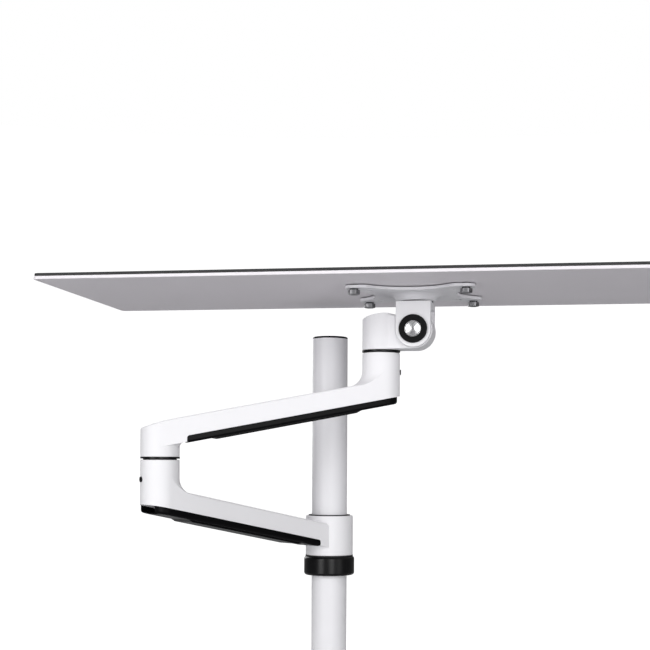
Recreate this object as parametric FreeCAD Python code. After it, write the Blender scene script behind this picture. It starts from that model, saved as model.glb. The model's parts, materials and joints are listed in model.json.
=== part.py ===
"""A two-link swing arm on a desk pole, with a swivelling and tilting head that carries a flat tray.

Frame: millimetres, +Z up, origin where the pole's axis meets the desk top. The clamp is behind, at +Y.
The lower link swings round the pole, the upper link round the elbow, and the head round the end of the
upper link. The head tilts a bracket about Y, and a square-pattern plate turns on the bracket about Z.
Links are drawn along their own +X, then turned and moved to where the arm stands at rest.
"""
import FreeCAD, Part
import math
import os
from FreeCAD import Vector

UP = Vector(0, 0, 1)
RUN_FIT = 0.05          # radial play of a shaft that turns in its bush
GAP = 0.3               # plain clearance between neighbours

# Pole
POLE_R = 17.5
POLE_WALL = 2.5
POLE_TOP = 396.0        # end of the tube, above the desk
CAP_RIM = 2.0           # the cap's rim stands on the tube's end
PLUG_H = 28.0

# Desk foot and clamp
PAD_H = 2.0
FOOT_R = 46.0
FOOT_PLATE_TOP = 12.0
SOCKET_R = 25.0
SOCKET_TOP = 42.0
SPINE_Y0 = 50.0         # the clamp's spine runs down behind the desk's edge
SPINE_T = 6.0
BRACKET_W = 64.0
FLANGE_Y0 = 32.0        # the clamp strap's top flange starts here
STRAP_SCREW_X = 14.0
STRAP_SCREW_Y = 38.0
JAW_Z = -92.0           # underside of the lower jaw
JAW_FRONT_Y = -28.0
SPINDLE_R = 6.0
PRESS_R = 22.0
PRESS_Z = -30.0         # face of the press pad at rest: a desk top 30 thick
PRESS_PAD_H = 2.0
PRESS_H = 5.0
KNOB_R = 19.0
KNOB_H = 24.0
KNOB_TOP = -118.0       # leaves the press 20 to rise

# Height ring and collar
RING_R = 25.0
RING_Z0 = 161.0
RING_Z1 = 179.6
COLLAR_R = 23.5
COLLAR_Z0 = 180.8
COLLAR_Z1 = 220.0
BUSH_R = 20.7           # outside of the collar's plastic bushes
BUSH_H = 12.0

# Both links
LINK = 203.0            # axis to axis
BARREL_R = 17.5
SLOPE = math.tan(math.radians(11.0))
LOWER_WEB_Z = 192.0     # underside of the lower link, carried back to the pole's axis
SLAB_H = 17.5
RISER_H = 43.0          # riser's top above the link's underside, on its axis
DROPPER_FLARE_R = 4.6
FLARE_R = 15.0          # cast fillet between the riser and the link's top
END_DROP = 3.0          # the outer end's top falls away this much
LIP = 5.5               # end stop that the cable cover butts against
LOWER_COVER_X0 = 26.0   # the covers start this far from the swivel's axis
UPPER_COVER_X0 = 22.6
COVER_DEPTH = 6.5
COVER_END_R = 2.8
MOUTH = 11.0            # half width of the cover's open end, where cables leave
CHANNEL_W = 22.0
CHANNEL_H = 9.0
JOINT_GAP = 2.5
LOWER_YAW = 231.5
UPPER_YAW = 21.2

# Swivel joints of the elbow and of the head
SPIGOT_R = 8.0
SPIGOT_DOWN = 34.0
SPIGOT_UP = 12.0
SLEEVE_R = 11.0
DROPPER_DOWN = 14.7     # dropper's foot below the upper link's underside
SCREW_R = 2.5
SCREW_DEPTH = 17.5      # below the riser's top
SCREW_TURN = -13.0      # round the riser, from the link's own line

# Head, tilt bracket and plate
KNUCKLE_R = 17.2
TILT_UP = 18.0          # tilt axis above the head's foot
KNUCKLE_W = 33.4
TILT_X = 32.0           # tilt axis, in front of the head's swivel axis
HEAD_H = 33.6
KNUCKLE_DROP = 2.5      # the web's top below the barrel's
WEB_BLEND_R = 8.0
EAR_R = 16.0
EAR_T = 5.0
BRACKET_Y = 22.0        # half of the bracket's width
BRIDGE_Z0 = 18.9        # above the tilt axis
BRIDGE_Z1 = 25.5
TILT_SHAFT_R = 5.0
WASHER_H = 1.5
BOSS_R = 17.5
BOSS_TOP_R = 27.0
BOSS_H = 6.1
PLATE_T = 2.5
PLATE_HALF = 58.0
BOLT_WASHER_H = 1.2
HOLE_R = 2.75
SPACER_H = 1.0
BOARD_T = 2.8
MAT_T = 2.8
TRAY_X = 323.0          # half length
TRAY_Y = 120.0          # half depth

# Heights and places that follow from the sizes above
LOWER_TOP = LOWER_WEB_Z + SLOPE * LINK + RISER_H
DROPPER_Z0 = LOWER_TOP + JOINT_GAP
UPPER_WEB_Z = DROPPER_Z0 + DROPPER_DOWN
UPPER_TOP = UPPER_WEB_Z + SLOPE * LINK + RISER_H
HEAD_Z0 = UPPER_TOP + JOINT_GAP
TILT_Z = HEAD_Z0 + TILT_UP
WASHER_Z = TILT_Z + BRIDGE_Z1
BOSS_Z = WASHER_Z + WASHER_H
PLATE_Z = BOSS_Z + BOSS_H
SPACER_Z = PLATE_Z + PLATE_T
BOARD_Z = SPACER_Z + SPACER_H
MAT_Z = BOARD_Z + BOARD_T


def reach(start, yaw):
    """The point one link's length away from start."""
    a = math.radians(yaw)
    return start + Vector(math.cos(a), math.sin(a), 0) * LINK


ELBOW = reach(Vector(0, 0, 0), LOWER_YAW)
HEAD = reach(ELBOW, UPPER_YAW)
CENTRE = HEAD + Vector(TILT_X, 0, 0)
SCREW_WAY = Vector(math.cos(math.radians(SCREW_TURN)), math.sin(math.radians(SCREW_TURN)), 0)


# Plain shapes

def rod(r, z0, z1, x=0.0, y=0.0):
    return Part.makeCylinder(r, z1 - z0, Vector(x, y, z0))


def tube(r_out, r_in, z0, z1, x=0.0, y=0.0):
    return rod(r_out, z0, z1, x, y).cut(rod(r_in, z0 - 1, z1 + 1, x, y))


def rod_along(r, start, direction, length):
    return Part.makeCylinder(r, length, start, direction)


def box(x0, x1, y0, y1, z0, z1):
    return Part.makeBox(x1 - x0, y1 - y0, z1 - z0, Vector(x0, y0, z0))


def prism(points, direction):
    """A closed polygon of 3-D points, pushed along a vector."""
    return Part.Face(Part.makePolygon(points + points[:1])).extrude(direction)


def side_prism(outline, half_width):
    """An outline of (x, z) points, as wide as twice half_width across Y."""
    points = [Vector(x, -half_width, z) for x, z in outline]
    return prism(points, Vector(0, 2 * half_width, 0))


def hexagon(across_flats, start, direction, length):
    """A hexagonal bar that starts at a point and runs along a direction."""
    r = across_flats / math.sqrt(3)
    points = [Vector(r * math.cos(math.radians(60 * i)), r * math.sin(math.radians(60 * i)), 0)
              for i in range(6)]
    bar = prism(points, Vector(0, 0, length))
    bar.Placement = FreeCAD.Placement(start, FreeCAD.Rotation(UP, direction))
    return bar


def rounded(shape, radius, wanted):
    """Rounds the edges that wanted(edge) picks."""
    edges = [e for e in shape.Edges if wanted(e)]
    return shape.makeFillet(radius, edges)


def is_circle(edge, radius, z=None):
    """True for a round edge of that radius, at that height if one is given."""
    return (isinstance(edge.Curve, Part.Circle) and abs(edge.Curve.Radius - radius) < 0.01
            and (z is None or abs(edge.BoundBox.ZMin - z) < 0.01 and abs(edge.BoundBox.ZMax - z) < 0.01))


def soft_rod(r, z0, z1, soften, x=0.0, y=0.0):
    """A rod whose two rims are rounded."""
    return rounded(rod(r, z0, z1, x, y), soften, lambda e: is_circle(e, r))


def placed(shape, point, yaw):
    """A shape drawn along its own +X, turned about Z and moved to a point."""
    moved = shape.copy()
    moved.Placement = FreeCAD.Placement(Vector(point.x, point.y, 0), FreeCAD.Rotation(UP, yaw))
    return moved


# Pole, foot and desk clamp

def pole_tube():
    return tube(POLE_R, POLE_R - POLE_WALL, PAD_H + 4, POLE_TOP)


def pole_cap():
    rim = rounded(rod(POLE_R, POLE_TOP, POLE_TOP + CAP_RIM), 1.2,
                  lambda e: is_circle(e, POLE_R, POLE_TOP + CAP_RIM))
    return rim.fuse(tube(POLE_R - POLE_WALL, POLE_R - POLE_WALL - 2, POLE_TOP - 12, POLE_TOP))


def pole_plug():
    plug = rod(POLE_R - POLE_WALL, PAD_H + 4, PAD_H + 4 + PLUG_H)
    return plug.cut(rod(5.0, PAD_H, PAD_H + 4 + PLUG_H + 1))


def foot_bolt():
    """M10 bolt that draws the pole's plug down on the foot, its head sunk in the foot's underside."""
    head = rod(8.0, PAD_H + 0.2, PAD_H + 3.8)
    return head.fuse(rod(5.0, PAD_H + 3.8, PAD_H + 26)).cut(hexagon(6, Vector(0, 0, PAD_H), UP, 2.5))


def desk_foot():
    plate = rounded(rod(FOOT_R, PAD_H, FOOT_PLATE_TOP), 2.0, lambda e: is_circle(e, FOOT_R, FOOT_PLATE_TOP))
    arc = 8.0
    flare = Part.Face(Part.Wire([
        Part.LineSegment(Vector(SOCKET_R - 3, 0, FOOT_PLATE_TOP - 1),
                         Vector(SOCKET_R + arc, 0, FOOT_PLATE_TOP - 1)).toShape(),
        Part.LineSegment(Vector(SOCKET_R + arc, 0, FOOT_PLATE_TOP - 1),
                         Vector(SOCKET_R + arc, 0, FOOT_PLATE_TOP)).toShape(),
        Part.Arc(Vector(SOCKET_R + arc, 0, FOOT_PLATE_TOP),
                 Vector(SOCKET_R + arc * (1 - math.sqrt(0.5)), 0, FOOT_PLATE_TOP + arc * (1 - math.sqrt(0.5))),
                 Vector(SOCKET_R, 0, FOOT_PLATE_TOP + arc)).toShape(),
        Part.LineSegment(Vector(SOCKET_R, 0, FOOT_PLATE_TOP + arc),
                         Vector(SOCKET_R - 3, 0, FOOT_PLATE_TOP + arc)).toShape(),
        Part.LineSegment(Vector(SOCKET_R - 3, 0, FOOT_PLATE_TOP + arc),
                         Vector(SOCKET_R - 3, 0, FOOT_PLATE_TOP - 1)).toShape(),
    ])).revolve(Vector(0, 0, 0), UP, 360)
    socket = rounded(rod(SOCKET_R, FOOT_PLATE_TOP - 1, SOCKET_TOP), 1.5,
                     lambda e: is_circle(e, SOCKET_R, SOCKET_TOP))
    foot = plate.fuse([flare, socket]).removeSplitter()
    foot = foot.cut(rod(POLE_R, PAD_H + 4, SOCKET_TOP + 1))
    foot = foot.cut(rod(8.3, PAD_H - 1, PAD_H + 4)).cut(rod(5.3, PAD_H, PAD_H + 5))
    foot = foot.cut(rod_along(SCREW_R, Vector(0, POLE_R - 1, 30), Vector(0, 1, 0), 12))
    # flat seat for the clamp bracket's top flange, and its two screw holes
    foot = foot.cut(box(-BRACKET_W, BRACKET_W, FLANGE_Y0 - 0.5, SPINE_Y0, FOOT_PLATE_TOP - 4, SOCKET_TOP))
    for x in (-STRAP_SCREW_X, STRAP_SCREW_X):
        foot = foot.cut(rod(2.9, PAD_H, FOOT_PLATE_TOP, x, STRAP_SCREW_Y))
    return foot


def foot_grub_screw():
    start = Vector(0, POLE_R, 30)
    return rod_along(SCREW_R, start, Vector(0, 1, 0), 7.2).cut(
        hexagon(3, start + Vector(0, 4.4, 0), Vector(0, 1, 0), 4))


def foot_pad():
    return rod(FOOT_R - 1, 0, PAD_H)


def clamp_bracket():
    """Bent steel strap: a flange on the foot, a spine behind the desk's edge, and a jaw under the desk."""
    flange_z = FOOT_PLATE_TOP - 4
    outline = [(FLANGE_Y0, flange_z), (SPINE_Y0, flange_z), (SPINE_Y0, JAW_Z + SPINE_T), (JAW_FRONT_Y, JAW_Z + SPINE_T),
               (JAW_FRONT_Y, JAW_Z), (SPINE_Y0 + SPINE_T, JAW_Z), (SPINE_Y0 + SPINE_T, flange_z + SPINE_T),
               (FLANGE_Y0, flange_z + SPINE_T)]
    points = [Vector(-BRACKET_W / 2, y, z) for y, z in outline]
    strap = prism(points, Vector(BRACKET_W, 0, 0))

    def bend(e):
        b = e.BoundBox
        outer = abs(b.YMin - SPINE_Y0 - SPINE_T) < 0.01 and b.YLength < 0.01
        return outer and b.XLength > BRACKET_W - 1

    strap = rounded(strap, 5.0, bend)
    strap = rounded(strap, 10.0, lambda e: e.BoundBox.ZLength > SPINE_T - 1 and e.BoundBox.ZLength < SPINE_T + 1
                    and abs(e.BoundBox.YMin - JAW_FRONT_Y) < 0.01 and e.BoundBox.XLength < 0.01)
    strap = strap.cut(rod(POLE_R + 16.0, flange_z - 1, flange_z + SPINE_T + 1))
    for x in (-STRAP_SCREW_X, STRAP_SCREW_X):
        strap = strap.cut(rod(3.2, flange_z - 1, flange_z + SPINE_T + 1, x, STRAP_SCREW_Y))
    nut_boss = rod(11.0, JAW_Z + SPINE_T, JAW_Z + SPINE_T + 8)
    strap = strap.fuse(nut_boss).removeSplitter()
    return strap.cut(rod(SPINDLE_R + RUN_FIT, JAW_Z - 1, JAW_Z + SPINE_T + 9))


def clamp_screws():
    """Two M6 button-head screws hold the strap on the foot."""
    top = FOOT_PLATE_TOP - 4 + SPINE_T
    screws = []
    for x in (-STRAP_SCREW_X, STRAP_SCREW_X):
        head = rounded(rod(5.2, top, top + 3.3, x, STRAP_SCREW_Y), 1.6, lambda e: is_circle(e, 5.2, top + 3.3))
        screw = head.fuse(rod(2.8, PAD_H + 1, top, x, STRAP_SCREW_Y))
        screws.append(screw.cut(hexagon(4, Vector(x, STRAP_SCREW_Y, top + 1.4), UP, 3)))
    return Part.makeCompound(screws)


def clamp_spindle():
    """The spindle's ball end sits in the press plate, its thread in the jaw, and its foot in the knob."""
    top = PRESS_Z - PRESS_PAD_H - 1.5
    return rod(SPINDLE_R, KNOB_TOP - KNOB_H + 4, top - 4).fuse(rod(4.0, top - 4.5, top))


def clamp_knob():
    top = KNOB_TOP
    knob = soft_rod(KNOB_R, top - KNOB_H, top, 3.0)
    flutes = 8
    for i in range(flutes):
        a = 2 * math.pi * i / flutes
        knob = knob.cut(rod(5.0, top - KNOB_H - 1, top + 1, (KNOB_R + 2.5) * math.cos(a), (KNOB_R + 2.5) * math.sin(a)))
    knob = knob.fuse(rod(11.0, top, top + 5)).removeSplitter()
    return knob.cut(rod(SPINDLE_R, top - KNOB_H + 4, top + 6))


def press_plate():
    top = PRESS_Z - PRESS_PAD_H
    plate = rounded(rod(PRESS_R, top - PRESS_H, top), 1.0, lambda e: is_circle(e, PRESS_R, top - PRESS_H))
    return plate.cut(rod(4.0 + RUN_FIT, top - PRESS_H - 1, top - 1.5 + RUN_FIT)).cut(
        rod(SPINDLE_R + 0.3, top - PRESS_H - 1, top - 5.2))


def press_pad():
    return soft_rod(PRESS_R - 1, PRESS_Z - PRESS_PAD_H, PRESS_Z, 0.6)


# Height ring and the lower link's collar

def height_ring():
    ring = rounded(rod(RING_R, RING_Z0, RING_Z1), 2.6, lambda e: is_circle(e, RING_R))
    ring = ring.cut(rod(POLE_R + RUN_FIT, RING_Z0 - 1, RING_Z1 + 1))
    middle = (RING_Z0 + RING_Z1) / 2
    return ring.cut(rod_along(SCREW_R, Vector(0, POLE_R - 1, middle), Vector(0, 1, 0), 12))


def ring_screw():
    start = Vector(0, POLE_R + RUN_FIT, (RING_Z0 + RING_Z1) / 2)
    return rod_along(SCREW_R, start, Vector(0, 1, 0), 7.2).cut(
        hexagon(3, start + Vector(0, 4.4, 0), Vector(0, 1, 0), 4))


def glide_washer():
    return tube(COLLAR_R + 0.2, POLE_R + RUN_FIT, RING_Z1, COLLAR_Z0 - RUN_FIT)


def collar_bush(top):
    """A flanged plastic bush, pressed in at the collar's top or bottom."""
    inner = POLE_R + RUN_FIT
    if top:
        return tube(BUSH_R, inner, COLLAR_Z1 - BUSH_H, COLLAR_Z1 + 1.0)
    return tube(BUSH_R, inner, COLLAR_Z0, COLLAR_Z0 + BUSH_H)


# Links

def web_z(base, x):
    """Height of a link's underside at a distance along it."""
    return base + SLOPE * x


def falling_end(x0):
    """How far a link's top falls below its straight line, at places towards its outer end."""
    if x0 >= 0:
        return [(x0, 0)]
    inner = 14.0
    steps = 12
    places = [x0 + (inner - x0) * i / steps for i in range(steps + 1)]
    return [(x, END_DROP * ((inner - x) / (inner - x0)) ** 2) for x in places]


def slab(base, x0, cover_x0):
    """The straight part of a link, with its top edges rounded. It ends in a half circle at the riser,
    and in another at x = 0 if it starts behind that axis, where its top falls away."""
    x1 = LINK + BARREL_R
    outline = [(x1, web_z(base, x1) + SLAB_H), (x1, web_z(base, x1)),
               (cover_x0, web_z(base, cover_x0)), (cover_x0, web_z(base, cover_x0) - LIP),
               (x0, web_z(base, x0) - LIP)]
    outline += [(x, web_z(base, x) + SLAB_H - fall) for x, fall in falling_end(x0)]
    bar = side_prism(outline, BARREL_R)
    bar = rounded(bar, COVER_END_R, lambda e: e.BoundBox.YLength > 1
                  and abs(e.BoundBox.XMin - cover_x0) < 0.01 and abs(e.BoundBox.ZMin - web_z(base, cover_x0)) < 0.01)
    z0, z1 = base - 2 * BARREL_R, base + 6 * BARREL_R
    plan = box(max(x0, 0), LINK, -BARREL_R, BARREL_R, z0, z1).fuse(rod(BARREL_R, z0, z1, LINK))
    if x0 < 0:
        plan = plan.fuse(rod(BARREL_R, z0, z1))
    bar = bar.common(plan.removeSplitter())

    def top_edge(e):
        p = e.valueAt((e.FirstParameter + e.LastParameter) / 2)
        return abs(p.z - web_z(base, p.x) - SLAB_H) < 0.01 and p.x > max(x0, 14) + 1

    return rounded(bar, 2.4, top_edge)


def flare_wedge(axis_x, z_plane, radius, side, up):
    """The cast fillet where a barrel stands on a slab: a concave ring cut to the slab's width.
    side is the way the slab leaves the barrel, and up is 1 above the slab and -1 under it."""
    # the arc is tangent to the barrel and to the slab's slope
    angle = math.pi / 2 - side * up * math.atan(SLOPE)
    run = radius * math.tan((math.pi - angle) / 2)
    corner_z = z_plane(axis_x + side * BARREL_R)
    fall = math.atan(SLOPE) * side
    start = Vector(axis_x + side * BARREL_R, 0, corner_z + up * run)
    end = Vector(axis_x + side * (BARREL_R + run * math.cos(fall)), 0, corner_z + run * math.sin(fall))
    centre = Vector(start.x + side * radius, 0, start.z)
    middle = centre + ((start + end) * 0.5 - centre).normalize() * radius
    inner = Vector(axis_x + side * (BARREL_R - 4), 0, start.z)
    low = Vector(end.x, 0, end.z - up * 3)
    foot = Vector(inner.x, 0, low.z)
    section = Part.Face(Part.Wire([
        Part.Arc(start, middle, end).toShape(),
        Part.LineSegment(end, low).toShape(),
        Part.LineSegment(low, foot).toShape(),
        Part.LineSegment(foot, inner).toShape(),
        Part.LineSegment(inner, start).toShape(),
    ]))
    ring = section.revolve(Vector(axis_x, 0, 0), UP, 360)
    reach_x = BARREL_R + run + 1
    x0, x1 = sorted((axis_x, axis_x + side * reach_x))
    return ring.common(box(x0, x1, -BARREL_R, BARREL_R, min(low.z, start.z) - 1, max(low.z, start.z) + 1))


def link(base, x0, cover_x0):
    """Slab, riser and their fillet, with the cable channel underneath and the swivel's bores."""
    top = web_z(base, LINK) + RISER_H
    riser = rounded(rod(BARREL_R, web_z(base, LINK) + SLAB_H - 6, top, LINK), 0.8,
                    lambda e: is_circle(e, BARREL_R, top))
    flare = flare_wedge(LINK, lambda x: web_z(base, x) + SLAB_H, FLARE_R, -1, 1)
    body = slab(base, x0, cover_x0).fuse([riser, flare])
    channel = [(cover_x0 + 4, web_z(base, cover_x0 + 4) - 1), (LINK - 16, web_z(base, LINK - 16) - 1),
               (LINK - 16, web_z(base, LINK - 16) + CHANNEL_H), (cover_x0 + 4, web_z(base, cover_x0 + 4) + CHANNEL_H)]
    body = body.cut(side_prism(channel, CHANNEL_W / 2))
    body = body.cut(rod(SLEEVE_R, top - SPIGOT_DOWN, top + 1, LINK))
    body = body.cut(rod(SLEEVE_R + 2, base, top - SPIGOT_DOWN + 0.25, LINK))
    start = Vector(LINK, 0, top - SCREW_DEPTH) + SCREW_WAY * (SLEEVE_R - 1)
    return body.cut(rod_along(SCREW_R, start, SCREW_WAY, 12))


def lower_link():
    base = LOWER_WEB_Z
    collar = rounded(rod(COLLAR_R, COLLAR_Z0, COLLAR_Z1), 0.9, lambda e: is_circle(e, COLLAR_R))
    body = link(base, 4.0, LOWER_COVER_X0).fuse(collar).removeSplitter()
    body = body.cut(rod(POLE_R + 1.2, COLLAR_Z0 - 1, COLLAR_Z1 + 1))
    body = body.cut(rod(BUSH_R, COLLAR_Z0 - 1, COLLAR_Z0 + BUSH_H))
    return body.cut(rod(BUSH_R, COLLAR_Z1 - BUSH_H, COLLAR_Z1 + 1))


def upper_link():
    base = UPPER_WEB_Z
    dropper = rounded(rod(BARREL_R, DROPPER_Z0, base + 2), 0.8, lambda e: is_circle(e, BARREL_R, DROPPER_Z0))
    flare = flare_wedge(0, lambda x: web_z(base, x) - LIP, DROPPER_FLARE_R, 1, -1)
    body = link(base, -BARREL_R, UPPER_COVER_X0).fuse([dropper, flare]).removeSplitter()
    return body.cut(rod(SPIGOT_R, DROPPER_Z0 - 1, DROPPER_Z0 + SPIGOT_UP))


def under_link(base, x0, x1, lower, upper, half_width):
    """A strip that hangs between two depths under a link's sloping underside, with the riser's round end."""
    outline = [(x0, web_z(base, x0) - lower), (x1, web_z(base, x1) - lower),
               (x1, web_z(base, x1) - upper), (x0, web_z(base, x0) - upper)]
    plan = box(x0, LINK, -half_width, half_width, base - 60, base + 120)
    plan = plan.fuse(rod(half_width, base - 60, base + 120, LINK)).removeSplitter()
    return side_prism(outline, half_width).common(plan)


def cable_cover(base, cover_x0):
    """A shallow plastic trough that clips under a link, deeper along its middle. It follows the riser's
    round end, where a mouth lets cables out."""
    half = BARREL_R - 0.7
    wall = 1.6
    belly = 1.6
    x0, x1 = cover_x0 + 0.2, LINK + half
    outer = under_link(base, x0, x1, COVER_DEPTH, 0.1, half)

    def lower_rim(e):
        p = e.valueAt((e.FirstParameter + e.LastParameter) / 2)
        return abs(web_z(base, p.x) - COVER_DEPTH - p.z) < 0.01

    def front_top(e):
        return (e.BoundBox.YLength > 1 and e.BoundBox.XLength < 0.01 and abs(e.BoundBox.XMin - x0) < 0.01
                and abs(e.BoundBox.ZMin - web_z(base, x0) + 0.1) < 0.01)

    outer = rounded(outer, 2.4, lower_rim)
    outer = rounded(outer, COVER_END_R, front_top)
    # the belly fades in over a short ramp at each end
    bx0, bx1, ramp = 46.0, LINK - 20, 6.0
    deep = COVER_DEPTH + belly
    hump = [(bx0, web_z(base, bx0) - COVER_DEPTH + 0.6), (bx0 + ramp, web_z(base, bx0 + ramp) - deep),
            (bx1 - ramp, web_z(base, bx1 - ramp) - deep), (bx1, web_z(base, bx1) - COVER_DEPTH + 0.6)]
    outer = outer.fuse(side_prism(hump, half - 3.0)).removeSplitter()
    inner = under_link(base, x0 + 6, x1, COVER_DEPTH - wall, -1, half - wall)
    mouth = box(LINK + 4, LINK + half + 1, -MOUTH, MOUTH, web_z(base, LINK) - COVER_DEPTH + 1, base + 120)
    hollow = side_prism([(bx0 + 2 * ramp, web_z(base, bx0 + 2 * ramp) - deep + wall),
                         (bx1 - 2 * ramp, web_z(base, bx1 - 2 * ramp) - deep + wall),
                         (bx1 - 2 * ramp, web_z(base, bx1 - 2 * ramp)),
                         (bx0 + 2 * ramp, web_z(base, bx0 + 2 * ramp))], half - 3.0 - wall)
    return outer.cut(inner).cut(mouth).cut(hollow)


# Swivel joint parts, drawn on the swivel's own axis

def swivel_spigot(top):
    """Steel pin, pressed into the part above the joint and running in the sleeve below it."""
    pin = rod(SPIGOT_R, top - SPIGOT_DOWN, top + JOINT_GAP + SPIGOT_UP)
    return pin.cut(rod(2.5, top - SPIGOT_DOWN - 1, top - SPIGOT_DOWN + 14))


def swivel_sleeve(top):
    inner = SPIGOT_R + RUN_FIT
    return tube(SLEEVE_R, inner, top - SPIGOT_DOWN + 0.25, top).fuse(
        tube(BARREL_R - 2.5, inner, top, top + 1.0)).removeSplitter()


def swivel_washer(top):
    """The dark disc that shows as a line between the two barrels."""
    return tube(BARREL_R + 0.3, SPIGOT_R, top + 1.0 + RUN_FIT, top + JOINT_GAP)


def swivel_keeper(top):
    """A thick washer and its screw hold the spigot's foot."""
    z = top - SPIGOT_DOWN
    washer = rod(SLEEVE_R + 0.8, z - 2.2, z - RUN_FIT)
    washer = washer.fuse(rod(2.5, z - 2.2, z + 12))
    head = rounded(rod(4.6, z - 5.2, z - 2.2), 1.2, lambda e: is_circle(e, 4.6, z - 5.2))
    return washer.fuse(head).removeSplitter().cut(hexagon(4, Vector(0, 0, z - 6), UP, 3))


def swivel_set_screw(top):
    """Grub screw in the riser that pinches the sleeve and sets the joint's friction."""
    start = Vector(0, 0, top - SCREW_DEPTH) + SCREW_WAY * SLEEVE_R
    length = BARREL_R - SLEEVE_R + 1.0
    screw = rod_along(SCREW_R, start, SCREW_WAY, length)
    return screw.cut(hexagon(3, start + SCREW_WAY * (length - 2.8), SCREW_WAY, 4))


# Head, drawn on its swivel axis with the tilt axis in front at +X

def head_knuckle():
    barrel = rounded(rod(BARREL_R, HEAD_Z0, HEAD_Z0 + HEAD_H + 1), 0.8, lambda e: is_circle(e, BARREL_R, HEAD_Z0))
    steps = 14
    x0, x1 = -BARREL_R, 8.0
    top = [(x1 - (x1 - x0) * i / steps, 5.2 * (i / steps) ** 2.2) for i in range(steps + 1)]
    outline = [(x, HEAD_Z0 + HEAD_H - fall) for x, fall in top]
    outline += [(-BARREL_R - 1, HEAD_Z0 + HEAD_H - 6), (-BARREL_R - 1, HEAD_Z0 - 1), (BARREL_R + 1, HEAD_Z0 - 1),
                (BARREL_R + 1, HEAD_Z0 + HEAD_H - 2.2)]
    barrel = barrel.common(side_prism(outline, BARREL_R + 1))
    half = KNUCKLE_W / 2
    knuckle = rod_along(KNUCKLE_R, Vector(TILT_X, -half, TILT_Z), Vector(0, 1, 0), KNUCKLE_W)
    web_y = half - 1
    web = box(0, TILT_X, -web_y, web_y, HEAD_Z0 + TILT_UP - KNUCKLE_R, HEAD_Z0 + HEAD_H - KNUCKLE_DROP)
    body = barrel.fuse([knuckle, web]).removeSplitter()
    # the web's flat sides run into the barrel in a soft hollow
    body = rounded(body, WEB_BLEND_R, lambda e: e.BoundBox.ZLength > 10 and e.BoundBox.XLength < 0.05
                   and 5 < e.BoundBox.XMin < 10 and abs(abs(e.BoundBox.YMin) - web_y) < 0.05)
    body = body.cut(rod_along(TILT_SHAFT_R + 2.0, Vector(TILT_X, -half - 1, TILT_Z), Vector(0, 1, 0), KNUCKLE_W + 2))
    return body.cut(rod(SPIGOT_R, HEAD_Z0 - 1, HEAD_Z0 + SPIGOT_UP))


def tilt_sleeve():
    half = KNUCKLE_W / 2
    bush = rod_along(TILT_SHAFT_R + 2.0, Vector(TILT_X, -half, TILT_Z), Vector(0, 1, 0), KNUCKLE_W)
    return bush.cut(rod_along(TILT_SHAFT_R + RUN_FIT, Vector(TILT_X, -half - 1, TILT_Z), Vector(0, 1, 0), KNUCKLE_W + 2))


def tilt_bracket():
    """Clevis: two round-ended ears joined by a bridge above the knuckle."""
    ears = []
    for side in (-1, 1):
        y = side * (BRACKET_Y - EAR_T / 2) - EAR_T / 2
        ear = rod_along(EAR_R, Vector(TILT_X, y, TILT_Z - 0.6), Vector(0, 1, 0), EAR_T)
        ears.append(ear.fuse(box(TILT_X - EAR_R, TILT_X + EAR_R, y, y + EAR_T, TILT_Z - 0.6, WASHER_Z)))
    bridge = box(TILT_X - EAR_R, TILT_X + EAR_R, -BRACKET_Y, BRACKET_Y, TILT_Z + BRIDGE_Z0, WASHER_Z)
    body = bridge.fuse(ears).removeSplitter()

    def outer_rim(e):
        b = e.BoundBox
        return b.YLength < 0.01 and abs(abs(b.YMin) - BRACKET_Y) < 0.01

    body = rounded(body, 1.0, outer_rim)
    body = body.cut(rod_along(TILT_SHAFT_R, Vector(TILT_X, -BRACKET_Y - 1, TILT_Z), Vector(0, 1, 0), 2 * BRACKET_Y + 2))
    return body.cut(rod(4.0, WASHER_Z - 10, WASHER_Z + 1, TILT_X))


def tilt_shaft():
    start = Vector(TILT_X, -BRACKET_Y - 1.0, TILT_Z)
    return rod_along(TILT_SHAFT_R, start, Vector(0, 1, 0), 2 * BRACKET_Y + 2.0)


def friction_washers():
    """Thin discs between the knuckle and each ear."""
    half = KNUCKLE_W / 2
    discs = []
    for y in (-BRACKET_Y + EAR_T, half + RUN_FIT):
        length = BRACKET_Y - EAR_T - half - RUN_FIT
        disc = rod_along(13.0, Vector(TILT_X, y, TILT_Z), Vector(0, 1, 0), length)
        discs.append(disc.cut(rod_along(TILT_SHAFT_R + RUN_FIT, Vector(TILT_X, y - 1, TILT_Z), Vector(0, 1, 0), length + 2)))
    return Part.makeCompound(discs)


def tilt_ring(side):
    """The black ring round the pivot cap, on the outside of an ear."""
    direction = Vector(0, side, 0)
    start = Vector(TILT_X, side * BRACKET_Y, TILT_Z)
    ring = rod_along(13.0, start, direction, 2.2)
    ring = rounded(ring, 0.7, lambda e: is_circle(e, 13.0) and abs(e.BoundBox.YMin) > BRACKET_Y + 1)
    return ring.cut(rod_along(7.6, start - direction, direction, 4))


def tilt_cap(side):
    """Turned metal cap with a shallow cone, pressed over the shaft's end."""
    start = Vector(TILT_X, side * BRACKET_Y, TILT_Z)
    direction = Vector(0, side, 0)
    cap = rod_along(7.5, start, direction, 1.8).fuse(
        Part.makeCone(7.5, 6.4, 0.6, start + direction * 1.8, direction))
    dish = Part.makeCone(0.3, 6.2, 1.1, start + direction * 1.35, direction)
    cap = cap.removeSplitter().cut(dish)
    return cap.cut(rod_along(TILT_SHAFT_R, start - direction, direction, 2.0))


# Plate and tray, drawn with the plate's centre at the origin

def plate_washer():
    return tube(16.0, 4.0, WASHER_Z, BOSS_Z - RUN_FIT)


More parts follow.
